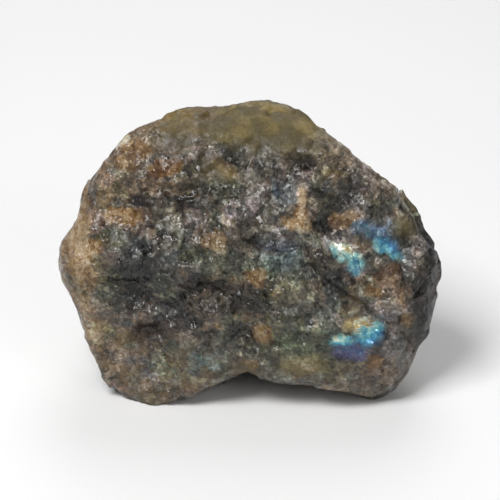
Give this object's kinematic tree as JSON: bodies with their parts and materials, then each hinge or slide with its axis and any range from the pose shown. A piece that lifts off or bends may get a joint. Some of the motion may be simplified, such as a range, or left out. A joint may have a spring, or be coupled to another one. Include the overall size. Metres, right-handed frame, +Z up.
{
  "type": "rough labradorite chunk",
  "caption": "Hand-sized rough feldspar stone with a broad pitted front face, a rusty rim, small blue flashes and a flat base it rests on.",
  "frame": {"origin": "under the middle of the bounding box, on the flat base that the chunk rests on", "axes": "+Z up, the broad front face looks towards -Y and leans back, +X is to the right as seen from the front"},
  "size_m": [0.0554, 0.0364, 0.0377],
  "materials": {
    "labradorite": "rough fracture faces, dark grey-brown feldspar with rust stains and a few blue and green flashes"
  },
  "bodies": {
    "root": {"labradorite_chunk": "labradorite"}
  },
  "joints": []
}
